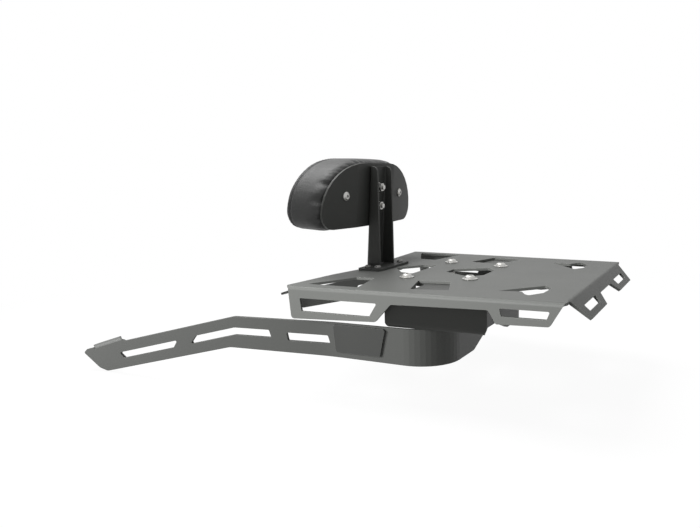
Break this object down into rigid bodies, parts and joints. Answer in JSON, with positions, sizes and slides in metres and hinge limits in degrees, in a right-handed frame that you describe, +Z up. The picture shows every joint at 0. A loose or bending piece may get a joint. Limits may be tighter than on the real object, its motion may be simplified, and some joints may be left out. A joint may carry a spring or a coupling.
{
  "type": "luggage rack with backrest",
  "caption": "Scooter rear luggage rack: folded steel top plate with strap hooks, carried on two strip arms, with a small padded backrest on a bolted post.",
  "frame": {"origin": "on the top face of the rack plate, on the centre line, midway between the two front plate bolts", "axes": "+X to the right of the vehicle, +Y forward along the arms, +Z up, square to the rack plate"},
  "size_m": [0.4602, 0.6458, 0.2765],
  "materials": {
    "powder_coated_steel": "dark grey satin powder coat",
    "zinc_plated_steel": "bright zinc plate",
    "pad_vinyl": "matt black upholstery vinyl over foam"
  },
  "bodies": {
    "root": {"rack_plate": "powder_coated_steel", "left_riser": "powder_coated_steel", "left_arm": "powder_coated_steel", "left_badge_plate": "powder_coated_steel", "right_riser": "powder_coated_steel", "right_arm": "powder_coated_steel", "right_badge_plate": "powder_coated_steel", "post_foot": "powder_coated_steel", "backrest_post": "powder_coated_steel", "back_plate": "powder_coated_steel", "backrest_pad": "pad_vinyl", "front_left_plate_bolt": "zinc_plated_steel", "front_left_plate_nut": "zinc_plated_steel", "front_right_plate_bolt": "zinc_plated_steel", "front_right_plate_nut": "zinc_plated_steel", "rear_left_plate_bolt": "zinc_plated_steel", "rear_left_plate_nut": "zinc_plated_steel", "rear_right_plate_bolt": "zinc_plated_steel", "rear_right_plate_nut": "zinc_plated_steel", "front_left_foot_bolt": "zinc_plated_steel", "front_left_foot_nut": "zinc_plated_steel", "front_right_foot_bolt": "zinc_plated_steel", "front_right_foot_nut": "zinc_plated_steel", "rear_left_foot_bolt": "zinc_plated_steel", "rear_left_foot_nut": "zinc_plated_steel", "rear_right_foot_bolt": "zinc_plated_steel", "rear_right_foot_nut": "zinc_plated_steel", "lower_bracket_bolt": "zinc_plated_steel", "lower_bracket_washer": "zinc_plated_steel", "lower_bracket_nut": "zinc_plated_steel", "upper_bracket_bolt": "zinc_plated_steel", "upper_bracket_washer": "zinc_plated_steel", "upper_bracket_nut": "zinc_plated_steel", "left_pad_screw": "zinc_plated_steel", "right_pad_screw": "zinc_plated_steel"}
  },
  "joints": []
}
